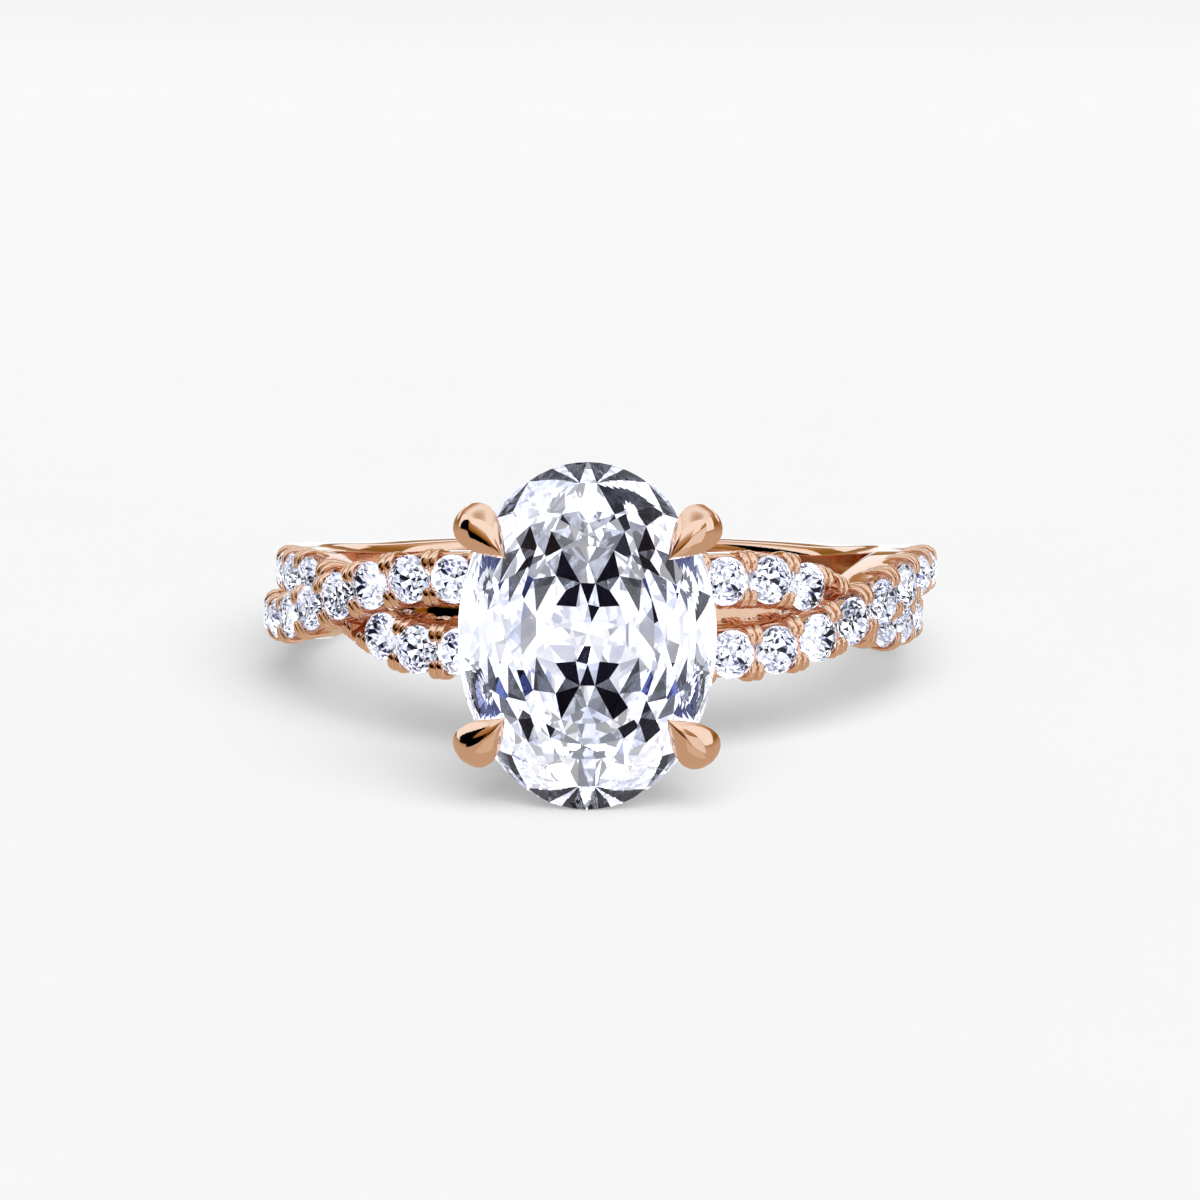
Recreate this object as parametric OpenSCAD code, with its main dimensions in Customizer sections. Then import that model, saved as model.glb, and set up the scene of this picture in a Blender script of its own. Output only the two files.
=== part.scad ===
// Twisted shank ring with an oval brilliant in four petal claws.
// Two set strands cross once on each side and run into one plain band at the back.
// The ring lies on its side, on the low end of the oval and on the lower edge of the back band.

/* [Shank] */
// Radius of the finger hole
finger_r = 8.45; // [7.5:0.05:10.5]
// Share of its width that a strand loses towards the side of the ring
strand_taper = 0.15; // [0.1:0.01:0.2]
// Metal under the small stones, from the finger to the setting face
strand_t = 1.3; // [1.2:0.05:1.6]
// Width of one strand across its walls
strand_w = 1.4; // [1.3:0.05:1.7]
// Thickness of the plain band at the back
band_t = 1.6; // [1.4:0.05:2]
// Rounding of the plain band's outer edges
band_round = 0.35; // [0.2:0.05:0.5]
// Width of the web that closes the gap between the strands
web_w = 1.2; // [1:0.1:1.3]
// Thickness of the web
web_t = 0.75; // [0.6:0.05:0.85]

/* [Twist] */
// Distance of a strand from the middle plane beside the head
head_spread = 1.02; // [0.95:0.01:1.1]
// Distance of the upper strand from the middle plane at the side of the ring
over_spread = 0.74; // [0.7:0.01:0.8]
// Distance of the lower strand from the middle plane at the side of the ring
under_spread = 0.64; // [0.6:0.01:0.7]
// Distance of a strand from the middle plane at the back
back_spread = 0.17; // [0.1:0.01:0.25]
// Angle from the head at which the upper strand starts to cross
over_start = 24; // [22:0.5:25]
// Angle from the head at which the upper strand has crossed
over_end = 76; // [75:0.5:80]
// Angle from the head at which the lower strand starts to cross
under_start = 28; // [26:0.5:30]
// Angle from the head at which the lower strand has crossed
under_end = 64; // [62:0.5:66]
// Angle from the head at which both are one band
merge_end = 134; // [130:1:138]
// Depth that the lower strand dives to at the crossing
dive = 0.42; // [0.35:0.01:0.45]

/* [Small stones] */
// Diameter of a small stone beside the head
small_d = 1.36; // [1.3:0.02:1.4]
// Share of that diameter that the outermost stones lack
small_shrink = 0.2; // [0.1:0.01:0.25]
// Height of the small stones' girdles over the setting face
small_lift = 0.27; // [0.24:0.01:0.32]
// Stones in the upper strand on each side
over_count = 8; // [6:1:8]
// Angle of the upper strand's first stone
over_first = 22.6; // [22:0.1:23]
// Stones in the lower strand on each side of the crossing
under_count = 3; // [1:1:3]
// Angle of the lower strand's first stone, before the crossing
under_near = 21.4; // [20:0.1:22]
// Angle of the lower strand's first stone, past the crossing
under_far = 59.6; // [59:0.1:60]
// Angle from one stone to the next
small_pitch = 8.1; // [8:0.05:8.2]
// Thickness of one finger of a double prong
finger_w = 0.3; // [0.26:0.01:0.34]

/* [Centre stone] */
// Length of the oval, across the finger
oval_l = 9.1; // [8.5:0.05:9.5]
// Width of the oval
oval_w = 6.75; // [6.5:0.05:7]
// Distance from the ring's centre to the underside of the girdle
girdle_n = 14.4; // [14:0.1:15]
// Depth of the pavilion
oval_pavilion = 2.85; // [2.6:0.05:3]
// Height of the crown
oval_crown = 1.0; // [0.8:0.05:1.2]
// Thickness of the girdle
oval_girdle = 0.2; // [0.15:0.01:0.25]

/* [Head] */
// Sideways place of the claws where they pass the girdle
claw_x = 2.7; // [2.6:0.02:2.9]
// Place of the claws along the oval where they pass the girdle
claw_z = 2.67; // [2.6:0.02:2.9]
// Length of a petal claw
claw_l = 1.7; // [1.5:0.02:1.9]
// Width of a petal claw
claw_w = 1.22; // [1:0.02:1.4]
// Height of a petal claw's ridge
claw_h = 0.46; // [0.4:0.02:0.6]
// Thickness of a prong where it leaves the rail
prong_w = 0.86; // [0.7:0.02:1]
// Distance from the ring's centre to the rail
rail_n = 12.1; // [11.8:0.1:12.6]
// Thickness of the rail
rail_w = 0.66; // [0.5:0.02:0.8]

/* [Hidden] */
sides = ["right", "left"];

rose_gold = [0.87, 0.69, 0.58];
diamond = [0.91, 0.93, 0.98];

// Radii of the shank
core_r = finger_r - 0.25;            // the strands start inside the finger hole, which then cuts them
face_r = finger_r + strand_t;        // setting face of the upper strand
cover = 0.02;                        // the plain band lies this far over the merged strands
merged_r = finger_r + band_t - cover;
band_r = finger_r + band_t;          // outside of the plain band
far_face_drop = dive - 0.07;         // the lower strand past the crossing, under the upper strand's face

// Sizes of the ring's parts that repeat
step = 6;                            // angle between two sections of a strand
side_end = 84;                       // angle at which the set stretch of a strand ends
strand_end = merge_end + 10;         // angle at which a strand ends, inside the band
fit_gap = 0.025;                     // clearance round a stone
table = 0.6;                         // table of every stone, as a share of its width
band_half = back_spread + strand_w / 2 + cover;
table_n = girdle_n + oval_girdle + oval_crown;

// The resting pose: the low end of the oval and the back band's lower edge touch the surface
back_edge_r = band_r - band_round;
lean = atan((oval_l / 2 - band_half) / (girdle_n + back_edge_r));
rest_z = oval_l / 2 * cos(lean) - girdle_n * sin(lean);
front_y = -table_n * cos(lean) - table * oval_l / 2 * sin(lean);
back_y = band_r * cos(lean) + (band_half - band_round) * sin(lean);
rest_y = -(front_y + back_y) / 2;

// A smooth step from 0 at angle a to 1 at angle b
function ease(t, a, b) = (1 - cos(180 * min(1, max(0, (t - a) / (b - a))))) / 2;

// Place of the first strand along the finger, at an angle t from the head. It is the upper strand
// on the right, where t is positive, and the lower one on the left. The second strand is the first
// turned half round the head's axis.
function strand_z(t) = t >= 0
    ? twist(t, over_start, over_end, over_spread)
    : twist(-t, under_start, under_end, under_spread);

function twist(t, start, end, spread) =
    -head_spread + (head_spread + spread) * ease(t, start, end)
    - (spread - back_spread) * ease(t, side_end, merge_end);

// Half the width of a strand, which tapers towards the side of the ring and widens into the band
function half_width(t) =
    strand_w / 2 * (1 - strand_taper * (ease(abs(t), 58, 80) - ease(abs(t), side_end, merge_end - 10)));

// Diameter of a small stone at an angle t
function stone_size(t) = small_d * (1 - small_shrink * ease(t, 58, 80));

// Setting face of the first strand, which dives on the left
function strand_face(t) =
    t >= 0
    ? face_r + (merged_r - face_r) * ease(t, side_end, side_end + 20)
    : face_r - dive * ease(-t, 24, 46) + (dive - far_face_drop) * ease(-t, 53, 62)
      + (merged_r - face_r + far_face_drop) * ease(-t, side_end, side_end + 26);

// Angle of the strand to the ring's middle plane
function strand_turn(t) = atan((strand_z(t + 1) - strand_z(t - 1)) / (2 * face_r * PI / 180));

// Half section of a strand at an angle t, as [offset, radius], from the foot to the setting face
function strand_wall(t) = let (
    half = half_width(t),
    round = 0.1 + (band_round - 0.1) * ease(abs(t), side_end, side_end + 30),
    top = strand_face(t)
) [[half - 0.08, core_r], [half, finger_r + 0.3], [half, top - round], [half - round, top]];

function strand_section(t) = let (wall = strand_wall(t)) concat(
    [for (p = wall) strand_point(t, p[0], p[1])],
    [for (i = [len(wall) - 1 : -1 : 0]) strand_point(t, -wall[i][0], wall[i][1])]
);

function strand_point(t, offset, r) = ring_point(t, r, strand_z(t) + offset);

function ring_point(t, r, z) = [r * sin(t), -r * cos(t), z];

function band_section(t) = let (
    round = band_round / 3,
    wall = [
        [band_half - 0.08, core_r], [band_half, finger_r + 0.3], [band_half, band_r - band_round],
        [band_half - round, band_r - round], [band_half - band_round, band_r]
    ]
) concat(
    [for (p = wall) ring_point(t, p[1], p[0])],
    [for (i = [len(wall) - 1 : -1 : 0]) ring_point(t, wall[i][1], -wall[i][0])]
);

// A skin over equal rings of points, with flat ends
module skin(rings) {
    count = len(rings);
    n = len(rings[0]);
    walls = [
        for (i = [0 : count - 2], j = [0 : n - 1])
            let (m = (j + 1) % n)
            [i * n + j, (i + 1) * n + j, (i + 1) * n + m, i * n + m]
    ];
    ends = [[for (j = [0 : n - 1]) j], [for (j = [n - 1 : -1 : 0]) (count - 1) * n + j]];
    polyhedron([for (ring = rings) each ring], concat(walls, ends), convexity = 10);
}

// Children stand on the ring at an angle t and radius r, their Z pointing outwards
module on_ring(t, r, z, turn = 0) {
    rotate([0, 0, t]) translate([0, -r, z]) rotate([0, -turn, 0]) rotate([90, 0, 0]) children();
}

// The left side is the right side turned half round the head's axis
module on_side(side) {
    rotate([0, side == "left" ? 180 : 0, 0]) children();
}

// The whole ring is modelled upright about the finger and then laid down
module laid_down() {
    translate([0, rest_y, rest_z]) rotate([-lean, 0, 0]) children();
}

// A brilliant cut with its girdle's underside at z = 0: table, stars, bezels, halves and mains.
// Each girdle facet is split into fine parts, so that a large stone keeps a round outline.
module brilliant(width, length, crown, girdle, pavilion, fine = 1) {
    star_r = table * cos(22.5) + 0.5 * (1 - table * cos(22.5));
    star_z = girdle + crown * (1 - star_r * cos(22.5)) / (1 - table);
    low_r = 0.24;
    low_z = -pavilion * (1 - low_r * cos(22.5));
    top_slope = (star_z - girdle) / (cos(11.25) - star_r * cos(11.25));
    low_slope = -low_z / (cos(11.25) - low_r * cos(11.25));
    points = concat(
        [for (k = [0 : 7]) on_oval(45 * k, table, girdle + crown)],
        [for (k = [0 : 7]) on_oval(45 * k + 22.5, star_r, star_z)],
        [for (j = [0 : 16 * fine - 1], up = [0, 1])
            let (a = 22.5 * j / fine, sag = cos((a % 22.5) - 11.25) - cos(11.25))
            on_oval(a, 1, up ? girdle - top_slope * sag : low_slope * sag)],
        [for (k = [0 : 7]) on_oval(45 * k + 22.5, low_r, low_z)],
        [[0, 0, -pavilion]]
    );
    scale([width / 2, length / 2, 1]) hull() polyhedron(points, [[for (i = [0 : len(points) - 1]) i]]);
}

function on_oval(a, r, z) = [r * cos(a), r * sin(a), z];

module small_stone(d) {
    translate([0, 0, small_lift]) brilliant(d, d, 0.15 * d, 0.03 * d, 0.43 * d);
}

// Room for a small stone: straight above its girdle and a cone below it
module small_seat(d) {
    r = d / 2 + fit_gap;
    depth = 0.43 * d + fit_gap;
    translate([0, 0, small_lift]) cylinder(h = 1, r = r, $fn = 12);
    translate([0, 0, small_lift - depth]) cylinder(h = depth, r1 = 0.05, r2 = r, $fn = 12);
}

// One finger of a double prong, standing beside the strand with its bead level with the stones' edge
module finger() {
    low = 0.5;
    high = 0.42;
    rotate_extrude($fn = 6) polygon([
        [0, -low], [finger_w / 2, -0.15], [finger_w / 2, high - 0.15], [0, high]
    ]);
}

// Both walls' fingers between two stones
module double_prong(t) {
    for (across = [-1, 1], along = [-1, 1])
        translate([along * finger_w * 0.46, across * (half_width(t) - 0.03), 0]) finger();
}

// Angles of the stones in the upper and in the lower strand
over_angles = [for (i = [0 : over_count - 1]) over_first + i * small_pitch];
near_angles = [for (i = [0 : under_count - 1]) under_near + i * small_pitch];
far_angles = [for (i = [0 : under_count - 1]) under_far + i * small_pitch];
under_angles = concat(near_angles, far_angles);

// Angles of the double prongs: one before each stone of a row and one after the last
function prong_angles(angles) = let (half = (angles[1] - angles[0]) / 2)
    concat([for (a = angles) a - half], [angles[len(angles) - 1] + half]);

// Children stand on the right side's upper strand, on its setting face
module on_over(t) {
    on_ring(t, strand_face(t), strand_z(t), strand_turn(t)) children();
}

// Children stand on the right side's lower strand, which is the left side's turned half round
module on_under(t) {
    on_ring(t, strand_face(-t), -strand_z(-t), strand_turn(-t)) children();
}

// A strand ends inside the plain band. Its sections start a third of a step off, so that those of
// the two strands never meet.
module strand() {
    skin([for (t = [-strand_end : step : strand_end]) strand_section(t + step / 3)]);
}

// The plain band covers the merged strands from side to side of the back
module band() {
    skin([for (t = [merge_end + 1 : step : 359 - merge_end]) band_section(t)]);
}

module web() {
    rotate_extrude($fn = 360 / step) translate([core_r - 0.1, -web_w / 2])
        square([finger_r + web_t - core_r + 0.1, web_w]);
}

module side_prongs() {
    for (t = prong_angles(over_angles)) on_over(t) double_prong(t);
    for (t = concat(prong_angles(near_angles), prong_angles(far_angles))) on_under(t) double_prong(t);
}

module side_seats() {
    for (t = over_angles) on_over(t) small_seat(stone_size(t));
    for (t = under_angles) on_under(t) small_seat(stone_size(t));
}

// Sideways place of a prong at a height n, on the line from the foot to the girdle
prong_foot_n = 9.2;
prong_foot = 0.95;
prong_lean = (claw_x + 0.25 - prong_foot) / (girdle_n - prong_foot_n);
function prong_x(n) = prong_foot + prong_lean * (n - prong_foot_n);

// A prong of the head: a round bar that widens into its claw
module prong() {
    levels = [
        // height, thickness
        [prong_foot_n, 1.3 * prong_w], [rail_n - 1, 1.05 * prong_w], [rail_n, prong_w],
        [girdle_n - 0.9, 0.95 * prong_w], [girdle_n - 0.1, 1.12 * prong_w]
    ];
    skin([for (level = levels) [for (a = [0 : 36 : 324])
        [prong_x(level[0]) + level[1] / 2 * cos(a), -level[0], prong_x(level[0]) + level[1] / 2 * sin(a)]
    ]]);
}

// A petal claw: a teardrop with a ridge, fat and round outside and pointed towards the stone's centre
module claw() {
    section = [
        [1, 0], [0.84, 0.42], [0.45, 0.82], [0, 1], [-0.45, 0.82], [-0.84, 0.42],
        [-1, 0], [-0.62, -0.75], [0, -1], [0.62, -0.75]
    ];
    cuts = 9;
    rise = 0.78;
    angles = [for (i = [0 : cuts]) 178 - i * 174 / cuts];
    rings = [for (a = angles)
        let (
            drop = sin(a) * pow(sin(a / 2), 1.1) / 0.754,
            along = claw_l / 2 * cos(a),
            lift = rise * (0.5 + cos(a) / 2)
        )
        [for (p = section) [
            along, claw_w / 2 * drop * p[0],
            lift + (p[1] > 0 ? claw_h * p[1] * pow(drop, 0.8) : (0.25 + 0.3 * (1 - cos(a)) / 2) * p[1] * drop)
        ]]
    ];
    skin(rings);
}

module rail() {
    r = prong_x(rail_n) * sqrt(2);
    translate([0, -rail_n, 0]) rotate([90, 0, 0])
        rotate_extrude($fn = 28) translate([r, 0]) rotate(30) circle(d = rail_w, $fn = 6);
}

// Plain pad that carries the prongs on the two strands
module foot() {
    on_ring(0, finger_r + 0.3, 0) cylinder(h = 1.45, r1 = 2, r2 = 1.55, $fn = 20);
}

// The claws and prongs stand in the four quarters of the oval
module head() {
    rail();
    foot();
    for (mx = [0, 1], mz = [0, 1]) mirror([mx, 0, 0]) mirror([0, 0, mz]) {
        prong();
        translate([claw_x, -girdle_n - 0.05, claw_z]) rotate([90, 0, 0]) rotate(225) claw();
    }
}

// The oval on the head, its long way along the finger; grow widens it into its own seat
module oval(grow = 0) {
    translate([0, -girdle_n, 0]) rotate([90, 0, 0]) translate([0, 0, -grow / 2]) brilliant(
        oval_w + 2 * grow, oval_l + 2 * grow, oval_crown, oval_girdle + grow, oval_pavilion, fine = 4
    );
}

// Everything that is gold, before the finger hole is cut
module casting() {
    difference() {
        union() {
            strand();
            rotate([0, 180, 0]) strand();
            band();
            web();
            head();
            for (side = sides) on_side(side) side_prongs();
        }
        for (side = sides) on_side(side) side_seats();
        oval(fit_gap);
    }
}

module shank_with_head() {
    color(rose_gold) laid_down() difference() {
        resize([0, 0, 0]) casting();
        cylinder(h = 12, r = finger_r, center = true, $fn = 180);
    }
}

module centre_stone() {
    color(diamond) laid_down() oval();
}

module over_stone(side, i) {
    t = over_angles[i - 1];
    color(diamond) laid_down() on_side(side) on_over(t) small_stone(stone_size(t));
}

module under_stone(side, i) {
    t = under_angles[i - 1];
    color(diamond) laid_down() on_side(side) on_under(t) small_stone(stone_size(t));
}

shank_with_head();
centre_stone();
for (side = sides, i = [1 : over_count])
    over_stone(side, i);
for (side = sides, i = [1 : 2 * under_count])
    under_stone(side, i);
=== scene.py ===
from math import atan, atan2, copysign, cos, degrees, hypot, pi, radians, sin, sqrt

import bmesh
import bpy
from mathutils import Matrix, Vector


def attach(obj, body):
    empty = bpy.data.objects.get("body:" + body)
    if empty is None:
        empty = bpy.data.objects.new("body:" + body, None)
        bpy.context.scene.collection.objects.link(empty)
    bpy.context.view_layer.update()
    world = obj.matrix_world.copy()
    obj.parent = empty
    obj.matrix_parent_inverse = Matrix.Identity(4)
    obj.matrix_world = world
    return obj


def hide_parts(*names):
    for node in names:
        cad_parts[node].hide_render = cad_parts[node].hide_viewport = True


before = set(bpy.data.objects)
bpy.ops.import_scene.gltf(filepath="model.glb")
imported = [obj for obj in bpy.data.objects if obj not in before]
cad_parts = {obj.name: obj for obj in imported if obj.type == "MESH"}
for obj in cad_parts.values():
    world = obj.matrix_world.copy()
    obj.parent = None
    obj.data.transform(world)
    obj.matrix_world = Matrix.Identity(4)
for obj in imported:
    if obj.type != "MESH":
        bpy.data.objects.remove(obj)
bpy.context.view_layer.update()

# Sizes are in millimetres in the ring's own frame: X to the right, -Y out through the head, Z along
# the finger. Every piece is laid down into the row's frame, in metres, when it is finished.

# resting pose and camera

pose = {"lean": 8.635366, "y": 2.907952, "z": 2.336324}
layDown = (
    Matrix.Scale(0.001, 4)
    @ Matrix.Translation((0, pose["y"], pose["z"]))
    @ Matrix.Rotation(radians(-pose["lean"]), 4, "X")
)

view = {
    "lift": 5.29,       # degrees above the ring's plane
    "side": 1.343,      # degrees to the right of the head
    "roll": 0.299,
    "distance": 100.0,
    "lens": 98.445,
    "right": 0.011,
    "up": 0.391,
}


def placeCamera():
    e, s = radians(view["lift"]), radians(view["side"])
    back = Vector((sin(s) * cos(e), -cos(s) * cos(e), sin(e)))
    right = Vector((cos(s), sin(s), 0))
    up = back.cross(right)
    eye = back * view["distance"] - right * view["right"] - up * view["up"]
    c, r = cos(radians(view["roll"])), sin(radians(view["roll"]))
    right, up = right * c + up * r, up * c - right * r
    turn = Matrix((right, up, back)).transposed().to_4x4()
    turn.translation = eye
    world = layDown @ turn
    cam = bpy.data.objects.new("camera", bpy.data.cameras.new("camera"))
    cam.data.lens, cam.data.sensor_width = view["lens"], 36
    cam.data.clip_start, cam.data.clip_end = 0.005, 20
    rot = world.to_3x3().normalized()
    cam.matrix_world = Matrix.Translation(world.translation) @ rot.to_4x4()
    bpy.context.collection.objects.link(cam)
    bpy.context.scene.camera = cam


placeCamera()
print("camera placed")

# materials


def newNode(tree, kind, links=(), **values):
    node = tree.nodes.new(kind)
    for key, value in values.items():
        setattr(node, key, value)
    for key, value in dict(links).items():
        socket = node.inputs[key]
        if isinstance(value, bpy.types.NodeSocket):
            tree.links.new(value, socket)
        else:
            socket.default_value = value
    return node


def colourRamp(tree, fac, stops):
    ramp = newNode(tree, "ShaderNodeValToRGB", {"Fac": fac})
    marks = ramp.color_ramp.elements
    while len(marks) < len(stops):
        marks.new(0.5)
    for mark, (place, colour) in zip(marks, stops):
        mark.position = place
        mark.color = (*colour, 1)
    return ramp.outputs["Color"]


def hiddenFromStones(tree, shader):
    # a ray that has been in a stone passes through
    path = newNode(tree, "ShaderNodeLightPath")
    deep = newNode(tree, "ShaderNodeMath", {
        0: path.outputs["Transmission Depth"], 1: 0.5}, operation="GREATER_THAN")
    clear = newNode(tree, "ShaderNodeBsdfTransparent")
    mix = newNode(tree, "ShaderNodeMixShader", {0: deep.outputs[0], 1: shader, 2: clear.outputs[0]})
    tree.links.new(mix.outputs[0], tree.nodes["Material Output"].inputs["Surface"])


def polishGroup():
    group = bpy.data.node_groups.new("polishMarks", "ShaderNodeTree")
    face = group.interface
    face.new_socket("Vector", in_out="INPUT", socket_type="NodeSocketVector")
    face.new_socket("Scale", in_out="INPUT", socket_type="NodeSocketFloat")
    for name in ("Cloud", "Marks"):
        face.new_socket(name, in_out="OUTPUT", socket_type="NodeSocketFloat")
    start = newNode(group, "NodeGroupInput")
    end = newNode(group, "NodeGroupOutput")
    cloud = newNode(group, "ShaderNodeTexNoise", {
        "Vector": start.outputs["Vector"], "Scale": start.outputs["Scale"], "Detail": 3.0, "Roughness": 0.55})
    stretch = newNode(group, "ShaderNodeMapping", {
        "Vector": start.outputs["Vector"], "Scale": (1.0, 1.0, 7.0), "Rotation": (0.4, 0.2, 0.7)})
    times = newNode(group, "ShaderNodeMath", {0: start.outputs["Scale"], 1: 5.0}, operation="MULTIPLY")
    marks = newNode(group, "ShaderNodeTexNoise", {
        "Vector": stretch.outputs["Vector"], "Scale": times.outputs[0], "Detail": 4.0, "Roughness": 0.6})
    group.links.new(cloud.outputs["Fac"], end.inputs["Cloud"])
    group.links.new(marks.outputs["Fac"], end.inputs["Marks"])
    return group


marksGroup = polishGroup()

gold = {
    "polished": {
        "low": (0.853, 0.58, 0.435), "high": (0.872, 0.605, 0.458), "rough": (0.03, 0.07), "bump": 0.04},
    "settings": {
        "low": (0.84, 0.565, 0.415), "high": (0.872, 0.605, 0.455), "rough": (0.04, 0.10), "bump": 0.07},
}


def goldMaterial(name, look):
    material = bpy.data.materials.new(name)
    material.use_nodes = True
    tree = material.node_tree
    shader = tree.nodes["Principled BSDF"]
    shader.inputs["Metallic"].default_value = 1.0
    where = newNode(tree, "ShaderNodeTexCoord")
    marks = newNode(tree, "ShaderNodeGroup", node_tree=marksGroup)
    tree.links.new(where.outputs["Object"], marks.inputs["Vector"])
    marks.inputs["Scale"].default_value = 900.0
    tint = colourRamp(tree, marks.outputs["Cloud"], [(0.35, look["low"]), (0.65, look["high"])])
    tree.links.new(tint, shader.inputs["Base Color"])
    rough = newNode(tree, "ShaderNodeMapRange", {
        "Value": marks.outputs["Marks"], "From Min": 0.3, "From Max": 0.7,
        "To Min": look["rough"][0], "To Max": look["rough"][1]})
    tree.links.new(rough.outputs["Result"], shader.inputs["Roughness"])
    bump = newNode(tree, "ShaderNodeBump", {
        "Height": marks.outputs["Marks"], "Strength": look["bump"], "Distance": 0.00002})
    tree.links.new(bump.outputs["Normal"], shader.inputs["Normal"])
    hiddenFromStones(tree, shader.outputs[0])
    return material


# the facets' tones are painted reflections and painted shade, and glow is how brightly the facets below the
# girdle glow with them: share of the facets below, colour
stoneLook = {
    "oval": {"scale": 1500.0, "glow": 0.46, "tones": [
        (0.0, (0.006, 0.006, 0.012)), (0.14, (0.03, 0.04, 0.12)), (0.17, (0.12, 0.125, 0.14)),
        (0.22, (0.38, 0.39, 0.42)), (0.29, (0.62, 0.64, 0.72)), (0.42, (0.80, 0.81, 0.88)),
        (0.60, (0.86, 0.87, 0.92)), (0.80, (0.95, 0.955, 0.98))]},
    "small": {"scale": 9000.0, "glow": 0.5, "tones": [
        (0.0, (0.015, 0.015, 0.025)), (0.12, (0.06, 0.07, 0.16)), (0.16, (0.20, 0.21, 0.24)),
        (0.28, (0.45, 0.46, 0.52)), (0.44, (0.70, 0.72, 0.80)), (0.60, (0.95, 0.96, 1.0))]},
}


def crownMaterial(name, look):
    material = bpy.data.materials.new(name)
    material.use_nodes = True
    tree = material.node_tree
    shader = tree.nodes["Principled BSDF"]
    shader.inputs["Transmission Weight"].default_value = 1.0
    shader.inputs["IOR"].default_value = 2.42
    shader.inputs["Specular IOR Level"].default_value = 0.1
    shader.inputs["Specular Tint"].default_value = (0.12, 0.12, 0.14, 1)
    shader.inputs["Roughness"].default_value = 0.0
    where = newNode(tree, "ShaderNodeTexCoord")
    cloud = newNode(tree, "ShaderNodeTexNoise", {"Vector": where.outputs["Object"], "Scale": look["scale"] / 4})
    tint = colourRamp(tree, cloud.outputs["Fac"], [(0.35, (0.97, 0.975, 1.0)), (0.65, (1.0, 1.0, 1.0))])
    tree.links.new(tint, shader.inputs["Base Color"])
    return material


def pavilionMaterial(name, look):
    # the facets below the girdle carry painted reflections: each facet's tone is painted into its colour and
    # also glows, though the stone is no lamp, under a painted shade from a noise cloud, while the mirror
    # surface adds the room's reflections
    material = bpy.data.materials.new(name)
    material.use_nodes = True
    tree = material.node_tree
    shader = tree.nodes["Principled BSDF"]
    shader.inputs["Metallic"].default_value = 1.0
    shader.inputs["Roughness"].default_value = 0.02
    facet = newNode(tree, "ShaderNodeAttribute", attribute_name="paintedFacetReflection")
    tone = colourRamp(tree, facet.outputs["Fac"], look["tones"])
    tone.node.color_ramp.interpolation = "CONSTANT"
    where = newNode(tree, "ShaderNodeTexCoord")
    cloud = newNode(tree, "ShaderNodeTexNoise", {"Vector": where.outputs["Object"], "Scale": look["scale"]})
    # painted shade: a noise cloud darkens parts of each facet a little
    shade = colourRamp(tree, cloud.outputs["Fac"], [(0.38, (0.86, 0.87, 0.92)), (0.56, (1.0, 1.0, 1.0))])
    both = newNode(tree, "ShaderNodeMix", data_type="RGBA", blend_type="MULTIPLY")
    both.inputs["Factor"].default_value = 1.0
    # the node's colour sockets are 6 and 7 going in and 2 going out
    tree.links.new(tone, both.inputs[6])
    tree.links.new(shade, both.inputs[7])
    tree.links.new(both.outputs[2], shader.inputs["Base Color"])
    # the painted tones glow as well
    tree.links.new(both.outputs[2], shader.inputs["Emission Color"])
    shader.inputs["Emission Strength"].default_value = look["glow"]
    return material


polishedGold = goldMaterial("polishedRoseGold", gold["polished"])
settingGold = goldMaterial("settingRoseGold", gold["settings"])
ovalCut = [
    crownMaterial("ovalCrown", stoneLook["oval"]),
    pavilionMaterial("ovalPavilion", stoneLook["oval"]),
]
smallCut = [
    crownMaterial("smallCrown", stoneLook["small"]),
    pavilionMaterial("smallPavilion", stoneLook["small"]),
]
print("materials made")


def linkedPiece(bm, name, materials):
    mesh = bpy.data.meshes.new(name)
    bm.to_mesh(mesh)
    bm.free()
    for material in materials:
        mesh.materials.append(material)
    piece = bpy.data.objects.new(name, mesh)
    bpy.context.collection.objects.link(piece)
    return piece


def finishPiece(bm, name, material, smoothAngle):
    bmesh.ops.remove_doubles(bm, verts=bm.verts[:], dist=1e-5)
    bmesh.ops.recalc_face_normals(bm, faces=bm.faces[:])
    bmesh.ops.transform(bm, matrix=layDown, verts=bm.verts[:])
    for face in bm.faces:
        face.smooth = True
    for edge in bm.edges:
        if edge.is_manifold and edge.calc_face_angle(0) > radians(smoothAngle):
            edge.smooth = False
    piece = linkedPiece(bm, name, [material])
    piece.visible_diffuse = False           # keeps the floor's shadow grey
    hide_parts("shank_with_head")
    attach(piece, "root")


# the shank's strands

shank = {
    "boreR": 8.45,
    "faceR": 9.75,
    "mergedR": 10.03,       # the setting face where the strands have become one band
    "half": 0.7,
    "taper": 0.15,
    "narrowing": (58, 80),  # angles between which the strands and the stones get smaller
    "headSpread": 1.02,
    "overSpread": 0.74,
    "underSpread": 0.64,
    "backSpread": 0.17,
    "over": (24, 76),       # angles between which the upper strand crosses
    "under": (28, 64),      # the same for the lower strand
    "sideEnd": 84,
    "mergeEnd": 134,
    "widerBefore": 10,      # the width is back this much before the strands have merged
    "dive": 0.42,           # how deep the lower strand goes under the upper one
    "diveSpan": (24, 46),
    "farDrop": 0.35,        # how deep it stays behind the crossing
    "farSpan": (53, 62),
    "overRise": 20,         # angles past the sides over which each strand reaches the band's face
    "underRise": 26,
    "edge": 0.1,
    "bandEdge": 0.35,
    "bandEdgeSpan": 30,
    "boreEdge": 0.4,
    "sideBelow": 0.25,
    "edgeCurve": 0.4,
    "channelCurve": 0.8,
    "sink": 0.004,          # keeps the strands' faces apart where they merge
    "steps": 540,
}

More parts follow.
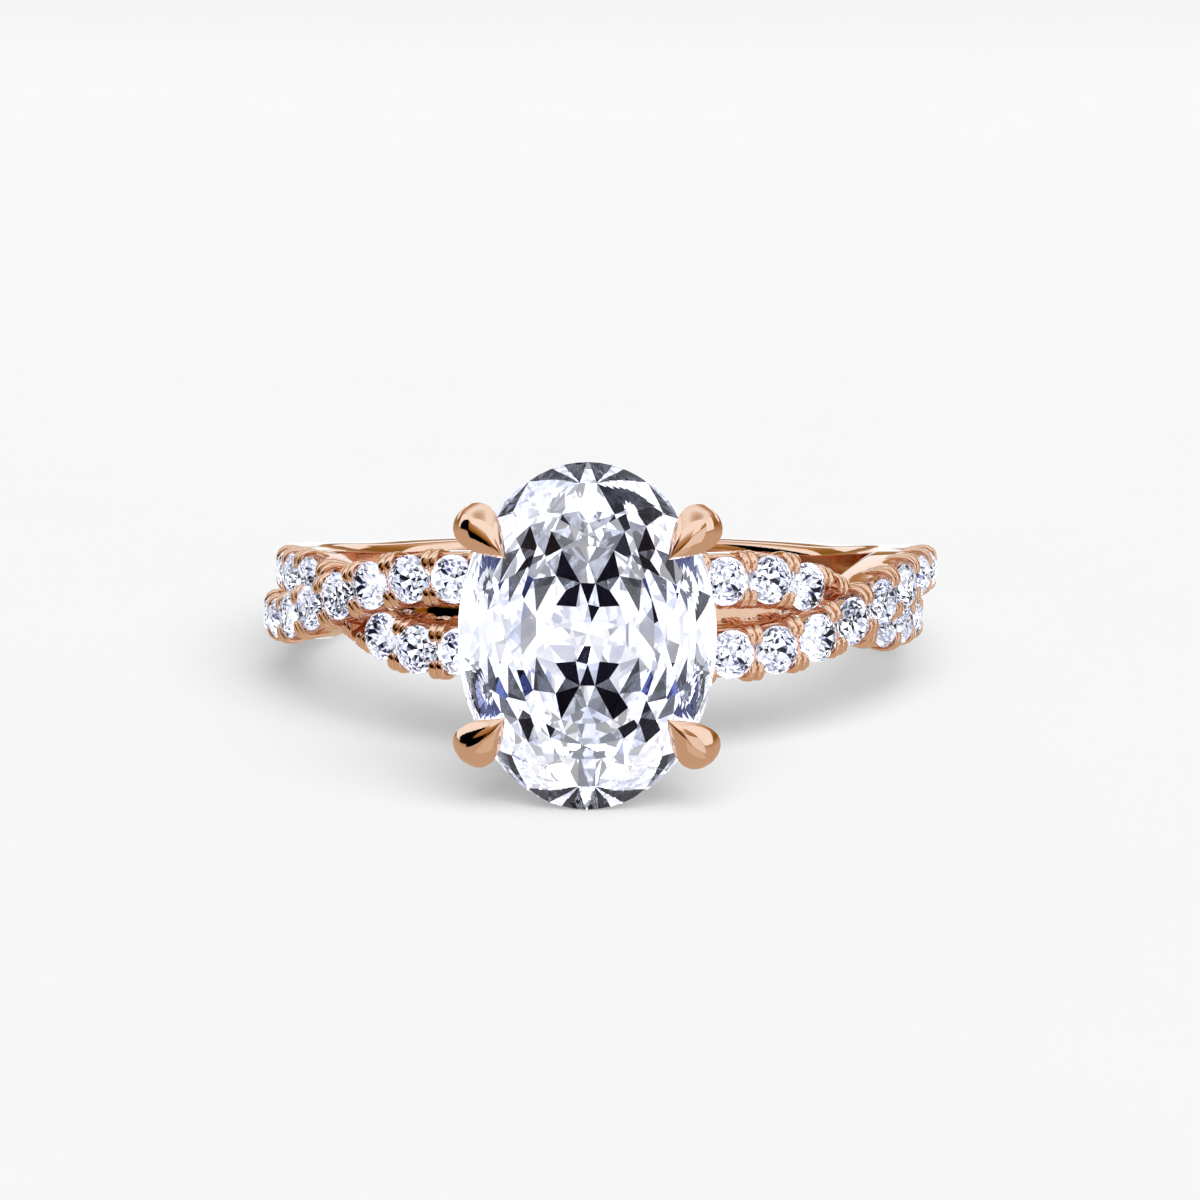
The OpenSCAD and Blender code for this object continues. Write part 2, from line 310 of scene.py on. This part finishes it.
rows = {
    "pitch": 8.1,
    "overFirst": 22.6,
    "overCount": 8,
    "nearFirst": 21.4,
    "farFirst": 59.6,
    "underCount": 3,
    "channel": 0.42,    # depth of the channel under the stones
    "scallop": 0.2,     # how far the walls dip beside each stone
    "runOut": (1.2, 0.8),   # angles outside and inside a row's end over which the channel closes
}


def ease(t, a, b):
    return (1 - cos(pi * min(1, max(0, (t - a) / (b - a))))) / 2


def twist(t, span, spread):
    rise = (shank["headSpread"] + spread) * ease(t, *span)
    merging = (spread - shank["backSpread"]) * ease(t, shank["sideEnd"], shank["mergeEnd"])
    return rise - shank["headSpread"] - merging


def strandZ(t):
    # the first strand is the upper one on the right, where t is positive
    if t >= 0:
        return twist(t, shank["over"], shank["overSpread"])
    return twist(-t, shank["under"], shank["underSpread"])


def strandHalf(t):
    widening = ease(abs(t), shank["sideEnd"], shank["mergeEnd"] - shank["widerBefore"])
    narrow = ease(abs(t), *shank["narrowing"]) - widening
    return shank["half"] * (1 - shank["taper"] * narrow)


def strandFace(t):
    face, merged, side = shank["faceR"], shank["mergedR"], shank["sideEnd"]
    dive, farDrop = shank["dive"], shank["farDrop"]
    if t >= 0:
        return face + (merged - face) * ease(t, side, side + shank["overRise"])
    low = face - dive * ease(-t, *shank["diveSpan"]) + (dive - farDrop) * ease(-t, *shank["farSpan"])
    return low + (merged - face + farDrop) * ease(-t, side, side + shank["underRise"])


def strandTurn(t):
    return atan((strandZ(t + 1) - strandZ(t - 1)) / (2 * shank["faceR"] * pi / 180))


def stoneAngles(kind):
    count = rows["overCount"] if kind == "over" else rows["underCount"]
    return [rows[kind + "First"] + i * rows["pitch"] for i in range(count)]


def prongAngles(kind):
    angles, half = stoneAngles(kind), rows["pitch"] / 2
    past = [angles[-1] + half * (2 + i) for i in range(prongs["hidden"])] if kind == "near" else []
    return [a - half for a in angles] + [angles[-1] + half] + past


def setRow(t):
    # how much of the channel is open at an angle of the first strand, and how far the wall dips there
    best = (0, 0)
    outside, inside = rows["runOut"]
    for kind in ("over",) if t >= 0 else ("near", "far"):
        angles = stoneAngles(kind)
        first, last = angles[0] - rows["pitch"] / 2, angles[-1] + rows["pitch"] / 2
        started = ease(abs(t), first - outside, first + inside)
        opened = started * (1 - ease(abs(t), last - inside, last + outside))
        wave = (1 + cos(2 * pi * (abs(t) - angles[0]) / rows["pitch"])) / 2
        if opened > best[0]:
            best = (opened, opened * wave)
    return best


# one side of a strand's section from the bore to the middle of its top: (share of the half width, level).
# Levels up to 0.5 lie at the bore and those up to 0.8 on the side. From 0.8 to 1 they go round the edge,
# and from 1 to 2 down into the channel.
section = [
    (0.0, 0.0), (0.55, 0.0), (0.86, 0.0), (0.95, 0.16), (1.0, 0.5),
    (1.0, 0.65), (1.0, 0.8), (0.985, 0.9), (0.95, 0.965), (0.9, 1.0),
    (0.86, 1.03), (0.82, 1.25), (0.72, 1.6), (0.36, 1.85), (0.0, 2.0),
]


def strandRadius(t, level, opened):
    top = strandFace(t)
    channel, dip = opened
    if level <= 0.5:
        return shank["boreR"] + shank["boreEdge"] * level
    onBand = ease(abs(t), shank["sideEnd"], shank["sideEnd"] + shank["bandEdgeSpan"])
    rounding = shank["edge"] + (shank["bandEdge"] - shank["edge"]) * onBand
    wall = top - rows["scallop"] * dip
    if level < 0.8:
        return wall - rounding - shank["sideBelow"]
    if level <= 1:
        # 5 and 0.2 stretch the levels from 0.8 to 1 over the whole rounding
        return wall - rounding * 5 * (1 - level) * (1 - shank["edgeCurve"] * (level - 0.8) / 0.2)
    floor = top - rows["channel"] * channel
    return wall + (floor - wall) * (level - 1) ** shank["channelCurve"]


def twistedStrand(name, turned):
    bm = bmesh.new()
    base = 10       # a point carries its level as its radius over this until it is placed
    outline = section + [(-u, level) for u, level in section[-2:0:-1]]
    verts = [bm.verts.new((0, -base - level, u)) for u, level in outline]
    edges = [bm.edges.new((verts[i], verts[(i + 1) % len(verts)])) for i in range(len(verts))]
    bmesh.ops.spin(bm, geom=verts + edges, cent=(0, 0, 0), axis=(0, 0, 1), angle=2 * pi,
                   steps=shank["steps"], use_merge=True)
    sink = shank["sink"] if turned else 0.0
    for vert in bm.verts:
        t = degrees(atan2(vert.co.x, -vert.co.y))
        level, u = hypot(vert.co.x, vert.co.y) - base, vert.co.z
        r = strandRadius(t, level, setRow(t)) - (sink if level > 0.5 else -sink)
        vert.co = (r * sin(radians(t)), -r * cos(radians(t)), strandZ(t) + u * strandHalf(t))
    if turned:
        bmesh.ops.rotate(bm, cent=(0, 0, 0), matrix=Matrix.Rotation(pi, 3, "Y"), verts=bm.verts[:])
    finishPiece(bm, name, polishedGold, 50)


twistedStrand("firstStrand", False)
twistedStrand("secondStrand", True)

web = {"r": 9.2, "shoulder": 8.98, "half": 0.6, "under": 8.47, "steps": 240}


def plainWeb():
    bm = bmesh.new()
    low, high, half = web["shoulder"], web["r"], web["half"]
    bulge = [(low + (high - low) * cos(a * pi / 12), half * sin(a * pi / 12)) for a in range(-6, 7)]
    outline = [(web["under"], -half)] + bulge + [(web["under"], half)]
    verts = [bm.verts.new((0, -r, z)) for r, z in outline]
    edges = [bm.edges.new((verts[i], verts[(i + 1) % len(verts)])) for i in range(len(verts))]
    bmesh.ops.spin(bm, geom=verts + edges, cent=(0, 0, 0), axis=(0, 0, 1), angle=2 * pi,
                   steps=web["steps"], use_merge=True)
    finishPiece(bm, "web", polishedGold, 50)


plainWeb()
print("strands and web made")

# double prongs along the strands

prongs = {
    "apart": 0.14,      # half the distance between the two fingers of a pair, on the wall
    "tipApart": 0.105,
    "hidden": 2,        # pairs that go on past the last stone before the crossing
    "covered": 0.08,    # a wall this far past the upper strand's still counts as under it
    "sides": 16,
    "squareness": 0.65,
    "bend": 0.4,        # share of a finger's length where the pair starts to lean together
    # across from the wall, height over the setting face, half width, half thickness
    "stations": [
        (-0.10, -0.70, 0.07, 0.03), (-0.045, -0.52, 0.10, 0.05), (0.0, -0.30, 0.115, 0.07),
        (0.03, -0.06, 0.122, 0.085), (0.01, 0.16, 0.125, 0.09), (-0.08, 0.30, 0.125, 0.085),
        (-0.20, 0.365, 0.122, 0.075), (-0.34, 0.39, 0.105, 0.06), (-0.45, 0.385, 0.05, 0.03),
    ],
}


def stackedRings(bm, count, segments, radius):
    # a closed tube of equal rings, which the caller then moves to their places
    made = [bmesh.ops.create_circle(bm, cap_ends=True, segments=segments, radius=radius)["verts"]]
    face = made[0][0].link_faces[0]
    for i in range(1, count):
        grown = bmesh.ops.extrude_face_region(bm, geom=[face])["geom"]
        if i > 1 and face.is_valid:
            bmesh.ops.delete(bm, geom=[face], context="FACES_ONLY")
        face = next(g for g in grown if isinstance(g, bmesh.types.BMFace))
        made.append([g for g in grown if isinstance(g, bmesh.types.BMVert)])
    return made


def fingerMesh():
    bm = bmesh.new()
    places, bend = prongs["stations"], prongs["bend"]
    for i, verts in enumerate(stackedRings(bm, len(places), prongs["sides"], 1)):
        y, z, wide, thick = places[i]
        before, after = places[max(0, i - 1)], places[min(len(places) - 1, i + 1)]
        slope = atan2(after[1] - before[1], after[0] - before[0])
        share = i / (len(places) - 1)
        x = prongs["apart"] + (prongs["tipApart"] - prongs["apart"]) * max(0, share - bend) / (1 - bend)
        for vert in verts:
            a, b = (copysign(abs(c) ** prongs["squareness"], c) for c in vert.co.xy)
            a, b = a * wide, b * thick
            vert.co = (x + a, y - b * sin(slope), z + b * cos(slope))
    bmesh.ops.recalc_face_normals(bm, faces=bm.faces[:])
    mesh = bpy.data.meshes.new("finger")
    bm.to_mesh(mesh)
    bm.free()
    return mesh


def onStrand(t, strand, side):
    s = t if strand == "over" else -t
    z = strandZ(s) if strand == "over" else -strandZ(s)
    turn = strandTurn(s)
    flip = Matrix.Rotation(pi, 4, "Y") if side == "left" else Matrix()
    return (
        flip @ Matrix.Rotation(radians(t), 4, "Z") @ Matrix.Translation((0, -strandFace(s), z))
        @ Matrix.Rotation(-turn, 4, "Y") @ Matrix.Rotation(pi / 2, 4, "X"), strandHalf(t)
    )


def doubleProngs():
    bm = bmesh.new()
    finger = fingerMesh()
    for side in ("right", "left"):
        for kind in ("over", "near", "far"):
            strand = "over" if kind == "over" else "under"
            for t in prongAngles(kind):
                place, half = onStrand(t, strand, side)
                for across in (1, -1):
                    reach = -strandZ(-t) + across * half - strandZ(t)
                    if strand == "under" and abs(reach) < strandHalf(t) + prongs["covered"]:
                        continue        # the upper strand covers this wall
                    for along in (1, -1):
                        known = len(bm.verts)
                        bm.from_mesh(finger)
                        bm.verts.ensure_lookup_table()
                        new = bm.verts[known:]
                        bmesh.ops.translate(bm, vec=(0, half, 0), verts=new)
                        bmesh.ops.scale(bm, vec=(along, across, 1), verts=new)
                        bmesh.ops.transform(bm, matrix=place, verts=new)
    bpy.data.meshes.remove(finger)
    finishPiece(bm, "doubleProngs", settingGold, 75)


doubleProngs()
print("double prongs made")

# the head

head = {
    "girdleN": 14.4,
    "railN": 12.1,
    "railW": 0.66,
    "railSides": 20,
    "railSteps": 96,
    "clawX": 2.7,
    "clawZ": 2.67,
    "prongW": 0.86,
    "prongOut": 0.25,       # how far outside the claw's middle a prong would reach the girdle
    "prongSides": 24,
    "footN": 9.2,
    "footX": 0.95,
    # height from the finger's axis, share of the prong's width
    "prongLevels": [
        (9.2, 1.3), (10.2, 1.15), (11.1, 1.05), (12.1, 1.0),
        (12.9, 0.95), (13.5, 0.95), (13.9, 0.98), (14.2, 0.8),
    ],
}


def prongX(n):
    lean = (head["clawX"] + head["prongOut"] - head["footX"]) / (head["girdleN"] - head["footN"])
    return head["footX"] + lean * (n - head["footN"])


def prongBar(bm):
    made = stackedRings(bm, len(head["prongLevels"]), head["prongSides"], 0.5)
    for (n, share), verts in zip(head["prongLevels"], made):
        wide = share * head["prongW"]
        for vert in verts:
            vert.co = (prongX(n) + wide * vert.co.x, -n, prongX(n) + wide * vert.co.y)
    return [v for verts in made for v in verts]


claw = {
    "long": 1.7,
    "wide": 1.22,
    "high": 0.46,
    "rise": 0.78,           # how much higher the point stands than the outer end
    "point": 1.1,           # a larger number gives a finer point
    "widest": 0.754,        # brings the outline's widest place to 1
    "ridge": 1.75,
    "fullness": 0.8,
    "under": (0.25, 0.15),  # depth below the middle: at the point, and how much it grows outwards
    "out": 0.05,            # how far the outer end stands out from the girdle's level
}


def petalClaw(bm):
    # a ball drawn into a petal: pointed towards the stone, fat outside, with a soft ridge
    verts = bmesh.ops.create_uvsphere(bm, u_segments=48, v_segments=40, radius=1)["verts"]
    for vert in verts:
        x, p, q = vert.co.z, vert.co.x, vert.co.y
        flat = hypot(p, q)
        a = atan2(flat, x)
        drop = sin(a) * sin(a / 2) ** claw["point"] / claw["widest"]
        p, q = (p / flat, q / flat) if flat > 1e-6 else (0, 0)
        if q > 0:
            high = claw["high"] * (1 - abs(p) ** claw["ridge"]) * drop ** claw["fullness"]
        else:
            high = (claw["under"][0] + claw["under"][1] * (1 - cos(a))) * q * drop
        vert.co = (claw["long"] / 2 * x, claw["wide"] / 2 * drop * p, claw["rise"] * (0.5 + x / 2) + high)
    place = (
        Matrix.Translation((head["clawX"], -head["girdleN"] - claw["out"], head["clawZ"]))
        @ Matrix.Rotation(pi / 2, 4, "X") @ Matrix.Rotation(radians(225), 4, "Z")
    )
    bmesh.ops.transform(bm, matrix=place, verts=verts)
    return verts


def clawsAndProngs():
    bm = bmesh.new()
    for mx in (1, -1):
        for mz in (1, -1):
            verts = prongBar(bm) + petalClaw(bm)
            bmesh.ops.scale(bm, vec=(mx, 1, mz), verts=verts)
    finishPiece(bm, "clawsAndProngs", polishedGold, 60)


def headRail():
    bm = bmesh.new()
    bmesh.ops.create_circle(bm, segments=head["railSides"], radius=head["railW"] / 2)
    place = Matrix.Translation((prongX(head["railN"]) * sqrt(2), 0, 0)) @ Matrix.Rotation(pi / 2, 4, "X")
    bmesh.ops.transform(bm, matrix=place, verts=bm.verts[:])
    bmesh.ops.spin(bm, geom=bm.verts[:] + bm.edges[:], cent=(0, 0, 0), axis=(0, 0, 1), angle=2 * pi,
                   steps=head["railSteps"], use_merge=True)
    place = Matrix.Translation((0, -head["railN"], 0)) @ Matrix.Rotation(pi / 2, 4, "X")
    bmesh.ops.transform(bm, matrix=place, verts=bm.verts[:])
    finishPiece(bm, "headRail", polishedGold, 60)


foot = {
    "low": 2.0,             # radius at the shank
    "high": 1.55,           # radius towards the stone
    "tall": 1.45,
    "middleN": 9.475,
    "sides": 64,
    "bevel": 0.18,
    "bevelSteps": 4,
}


def headFoot():
    bm = bmesh.new()
    bmesh.ops.create_cone(bm, cap_ends=True, segments=foot["sides"], radius1=foot["low"],
                          radius2=foot["high"], depth=foot["tall"])
    rims = [e for e in bm.edges if abs(e.verts[0].co.z - e.verts[1].co.z) < 1e-4]
    bmesh.ops.bevel(bm, geom=rims, offset=foot["bevel"], segments=foot["bevelSteps"], affect="EDGES",
                    profile=0.5, material=-1)
    place = Matrix.Translation((0, -foot["middleN"], 0)) @ Matrix.Rotation(pi / 2, 4, "X")
    bmesh.ops.transform(bm, matrix=place, verts=bm.verts[:])
    finishPiece(bm, "headFoot", polishedGold, 60)


clawsAndProngs()
headRail()
headFoot()
print("head made")

# stones

# rings of a cut, from the table down: (share of the radius, height as a share of the width, points, turn).
# The oval's is fuller below the girdle than the plain solid's straight cone.
ovalRings = [
    (0.60, 0.178, 8, 0), (0.777, 0.134, 8, 22.5), (1.0, 0.030, 64, 0), (1.0, 0.0, 64, 0),
    (0.93, -0.058, 48, 3.75), (0.85, -0.118, 40, 0), (0.74, -0.190, 36, 5), (0.62, -0.254, 32, 0),
    (0.51, -0.302, 24, 7.5), (0.40, -0.342, 20, 0), (0.29, -0.374, 16, 11.25), (0.18, -0.398, 12, 0),
    (0.08, -0.413, 8, 22.5), (0.0, -0.420, 1, 0),
]
smallRings = [
    (0.60, 0.18, 8, 0), (0.777, 0.136, 8, 22.5), (1.0, 0.03, 32, 0), (1.0, 0.0, 32, 0),
    (0.76, -0.17, 16, 11.25), (0.5, -0.302, 16, 0), (0.25, -0.395, 8, 22.5), (0.0, -0.43, 1, 0),
]


def chance(seed):
    return (sin(seed * 12.9898) * 43758.5453) % 1


# which facets get a painted dark or light reflection: r is a share of the radius, a an angle from the stone's
# width
mosaic = {
    "grid": 23,
    "odd": 0.3,             # share of the facets whose tone isn't the same in each quarter
    # bows paints dark facets near the middle, ends dark facets at the two ends and waist bright facets towards
    # the sides, all as painted reflections and shade
    "bows": {"r": (0.08, 0.27), "a": (36, 74), "share": 0.7, "tone": 0.05},
    "ends": {"r": 0.55, "a": 70, "share": 0.27, "tone": 0.05, "others": (0.3, 0.7)},
    "waist": {"r": (0.1, 0.5), "a": 30, "share": 0.7, "tone": 0.9},
}


def paintedFacetReflection(x, y, seed):
    # the painted reflection tones repeat left to right and top to bottom, as in a real cut, with some
    # exceptions
    r, a = hypot(x, y), degrees(atan2(abs(y), abs(x)))
    bows, ends, waist = mosaic["bows"], mosaic["ends"], mosaic["waist"]
    key = round(abs(x) * mosaic["grid"]) * 7.1 + round(abs(y) * mosaic["grid"]) * 3.3 + seed
    if chance(key + 5) < mosaic["odd"]:
        key += (x > 0) * 11 + (y > 0) * 17
    inBow = bows["r"][0] < r < bows["r"][1] and bows["a"][0] < a < bows["a"][1]
    if inBow and chance(key + 1) < bows["share"]:
        return bows["tone"]
    if r > ends["r"] and a > ends["a"]:
        least, spread = ends["others"]
        return ends["tone"] if chance(key + 3) < ends["share"] else least + spread * chance(key)
    if waist["r"][0] < r < waist["r"][1] and a < waist["a"] and chance(key + 2) < waist["share"]:
        return waist["tone"]
    return chance(key)


# how uneven the points below the girdle stand
uneven = {
    "across": 0.05,         # as a share of the radius
    "up": 0.6,              # how much of that goes into the height
}


def cutStone(name, nodes, rings, wide, long, place, materials, seed):
    bm = bmesh.new()
    for ringNumber, (share, high, count, turn) in enumerate(rings):
        for i in range(count):
            a = radians(360 / count * i + turn)
            loose = 0.0
            if high < -0.01 and count > 1:
                # the points below the girdle stand a little uneven, the same in each quarter
                key = round(abs(cos(a)) * 40) + round(abs(sin(a)) * 40) * 9 + ringNumber
                loose = uneven["across"] * (chance(key) - 0.5)
            r = share + loose
            z = (high - uneven["up"] * loose * share) * wide
            bm.verts.new((r * wide / 2 * cos(a), r * long / 2 * sin(a), z))
    bmesh.ops.convex_hull(bm, input=bm.verts[:])
    bmesh.ops.delete(bm, geom=[v for v in bm.verts if not v.link_faces], context="VERTS")
    bmesh.ops.recalc_face_normals(bm, faces=bm.faces[:])
    bmesh.ops.dissolve_limit(bm, angle_limit=radians(0.6), verts=bm.verts[:], edges=bm.edges[:])
    # each facet gets its painted reflection tone, read by the pavilion's material
    tone = bm.faces.layers.float.new("paintedFacetReflection")
    for face in bm.faces:
        middle = face.calc_center_median()
        face.material_index = 1 if middle.z < -0.0005 * wide else 0
        face[tone] = paintedFacetReflection(2 * middle.x / wide, 2 * middle.y / long, seed)
    bmesh.ops.transform(bm, matrix=layDown @ place, verts=bm.verts[:])
    stone = linkedPiece(bm, name, materials)
    stone.visible_diffuse = False
    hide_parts(nodes)
    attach(stone, "root")


stones = {
    "ovalW": 6.75,
    "ovalL": 9.1,
    "ovalN": 14.4,
    "ovalSeed": 10,
    "smallD": 1.36,
    "shrink": 0.2,          # how much smaller the last stones of a row are
    "lift": 0.27,           # the small stones' girdles over the setting face
    "turn": 37,             # each small stone is turned by this against the one before
}


def setStones():
    place = Matrix.Translation((0, -stones["ovalN"], 0)) @ Matrix.Rotation(pi / 2, 4, "X")
    cutStone("ovalBrilliant", "centre_stone", ovalRings, stones["ovalW"], stones["ovalL"], place,
             ovalCut, stones["ovalSeed"])
    strands = {"over": stoneAngles("over"), "under": stoneAngles("near") + stoneAngles("far")}
    for side in ("right", "left"):
        for strand, angles in strands.items():
            for i, t in enumerate(angles):
                d = stones["smallD"] * (1 - stones["shrink"] * ease(t, *shank["narrowing"]))
                place = onStrand(t, strand, side)[0] @ Matrix.Translation((0, 0, stones["lift"]))
                place = place @ Matrix.Rotation(radians(stones["turn"] * i), 4, "Z")
                cutStone(f"{side}{strand.title()}Brilliant{i + 1}", f"{side}_{strand}_stone_{i + 1}",
                         smallRings, d, d, place, smallCut, i + 1)


setStones()
print("stones finished")

# floor, light and cards

studio = {
    "floor": 0.86,
    "background": 0.94,
    "ambient": 0.20,
    "sun": 3.38,
    "patches": 3.4,
    "sunTilt": (-32, 14),
    "sunSoft": 68,
    "cardsMiddle": (0, 0, 0.004),
    # what the metal sees, from straight down to straight up
    "metalRoom": [
        (0.0, (0.62, 0.50, 0.38)), (0.40, (0.62, 0.49, 0.37)), (0.48, (0.44, 0.30, 0.16)),
        (0.54, (0.27, 0.13, 0.015)), (0.64, (0.36, 0.20, 0.06)), (0.76, (0.50, 0.31, 0.15)),
        (0.84, (0.64, 0.50, 0.37)), (0.90, (1.0, 1.04, 1.08)), (0.96, (1.04, 1.12, 1.18)),
        (1.0, (0.62, 0.52, 0.40))],
}


def plainFloor():
    bm = bmesh.new()
    bmesh.ops.create_grid(bm, x_segments=1, y_segments=1, size=2.0)
    material = bpy.data.materials.new("paleFloor")
    material.use_nodes = True
    tree = material.node_tree
    shader = tree.nodes["Principled BSDF"]
    shader.inputs["Roughness"].default_value = 0.85
    shader.inputs["Specular IOR Level"].default_value = 0.15
    where = newNode(tree, "ShaderNodeTexCoord")
    grain = newNode(tree, "ShaderNodeTexNoise", {
        "Vector": where.outputs["Object"], "Scale": 90.0, "Detail": 3.0})
    v, step = studio["floor"], 0.003
    tint = colourRamp(tree, grain.outputs["Fac"], [
        (0.3, (v - step, v - step, v)), (0.7, (v + step, v + step, v + step))])
    tree.links.new(tint, shader.inputs["Base Color"])
    floor = linkedPiece(bm, "floor", [material])
    floor.visible_glossy = False        # the metal sees the room's warm lower half instead


# what the stones throw back: share of the directions, brightness
sparkle = [
    (0.0, (0.03, 0.03, 0.04)), (0.14, (0.2, 0.21, 0.25)), (0.30, (0.42, 0.43, 0.48)), (0.5, (0.58, 0.58, 0.6)),
]


def studioWorld():
    world = bpy.data.worlds.new("studio")
    bpy.context.scene.world = world
    world.use_nodes = True
    tree = world.node_tree
    room = tree.nodes["Background"]
    room.inputs["Color"].default_value = (1, 1, 1, 1)
    room.inputs["Strength"].default_value = studio["ambient"]
    seen = newNode(tree, "ShaderNodeBackground", {
        "Color": (studio["background"],) * 3 + (1,), "Strength": 1.0})
    where = newNode(tree, "ShaderNodeTexCoord")
    patches = newNode(tree, "ShaderNodeTexVoronoi", {
        "Vector": where.outputs["Generated"], "Scale": studio["patches"], "Randomness": 1.0})
    pick = newNode(tree, "ShaderNodeSeparateColor", {"Color": patches.outputs["Color"]})
    tones = colourRamp(tree, pick.outputs["Red"], sparkle)
    tones.node.color_ramp.interpolation = "CONSTANT"
    stoneRoom = newNode(tree, "ShaderNodeBackground", {"Color": tones, "Strength": 1.0})
    height = newNode(tree, "ShaderNodeSeparateXYZ", {"Vector": where.outputs["Generated"]})
    level = newNode(tree, "ShaderNodeMapRange", {
        "Value": height.outputs["Z"], "From Min": -1.0, "From Max": 1.0})
    sky = colourRamp(tree, level.outputs["Result"], studio["metalRoom"])
    metalRoom = newNode(tree, "ShaderNodeBackground", {"Color": sky, "Strength": 1.0})
    path = newNode(tree, "ShaderNodeLightPath")
    last = room.outputs[0]
    rooms = {"Is Glossy Ray": metalRoom, "Is Transmission Ray": stoneRoom, "Is Camera Ray": seen}
    for kind, shader in rooms.items():
        mix = newNode(tree, "ShaderNodeMixShader", {0: path.outputs[kind], 1: last, 2: shader.outputs[0]})
        last = mix.outputs[0]
    tree.links.new(last, tree.nodes["World Output"].inputs["Surface"])


def softSun():
    light = bpy.data.lights.new("softSun", "SUN")
    light.energy = studio["sun"]
    light.angle = radians(studio["sunSoft"])
    sun = bpy.data.objects.new("softSun", light)
    sun.visible_glossy = False
    sun.rotation_euler = (radians(-studio["sunTilt"][0]), radians(studio["sunTilt"][1]), 0)
    bpy.context.collection.objects.link(sun)


# cards seen only in the metal: azimuth from the head to the right, elevation, distance, width, height, colour
white, brown, black = (1.1, 1.18, 1.24), (0.26, 0.12, 0.006), (0.0, 0.0, 0.0)
cards = {
    "overhead": (0, 66, 0.3, 0.5, 0.14, white),
    "frontLow": (-6, -3, 0.3, 0.24, 0.12, (0.12, 0.05, 0.002)),
    "frontUpperRight": (30, 40, 0.3, 0.14, 0.16, white),
    "rightFront": (46, -5, 0.3, 0.26, 0.28, (0.94, 0.94, 0.92)),
    "rightFloor": (24, -52, 0.3, 0.3, 0.2, (0.76, 0.65, 0.54)),
    "leftFlag": (-86, 18, 0.3, 0.18, 0.26, black),
    "gapFlag": (-42, -4, 0.034, 0.024, 0.012, black),
    "leftFront": (-48, -2, 0.31, 0.3, 0.14, brown),
    "rightBox": (84, 24, 0.3, 0.16, 0.3, white),
    "leftBox": (-96, 24, 0.3, 0.16, 0.3, white),
    "backBox": (180, 14, 0.3, 0.7, 0.1, white),
    "backLow": (180, -13, 0.3, 0.5, 0.09, white),
}


def reflectionCard(name, azimuth, elevation, distance, wide, high, colour):
    bm = bmesh.new()
    bmesh.ops.create_grid(bm, x_segments=1, y_segments=1, size=0.5)
    bmesh.ops.scale(bm, vec=(wide, high, 1), verts=bm.verts[:])
    a, e = radians(azimuth), radians(elevation)
    away = Vector((sin(a) * cos(e), -cos(a) * cos(e), sin(e)))
    turn = away.to_track_quat("Z", "Y").to_matrix().to_4x4()
    middle = Vector(studio["cardsMiddle"]) + away * distance
    bmesh.ops.transform(bm, matrix=Matrix.Translation(middle) @ turn, verts=bm.verts[:])
    material = bpy.data.materials.new(name)
    material.use_nodes = True
    tree = material.node_tree
    tree.nodes.remove(tree.nodes["Principled BSDF"])
    glow = newNode(tree, "ShaderNodeEmission", {"Color": (*colour, 1), "Strength": 1.0})
    hiddenFromStones(tree, glow.outputs[0])
    card = linkedPiece(bm, name, [material])
    card.visible_camera = card.visible_diffuse = card.visible_shadow = False


plainFloor()
studioWorld()
softSun()
for name, values in cards.items():
    reflectionCard(name, *values)
scene = bpy.context.scene
scene.view_settings.view_transform = "Standard"
scene.view_settings.look = "None"
scene.cycles.max_bounces = 24
scene.cycles.transmission_bounces = 20
scene.cycles.glossy_bounces = 6
scene.cycles.transparent_max_bounces = 24
print("studio made")
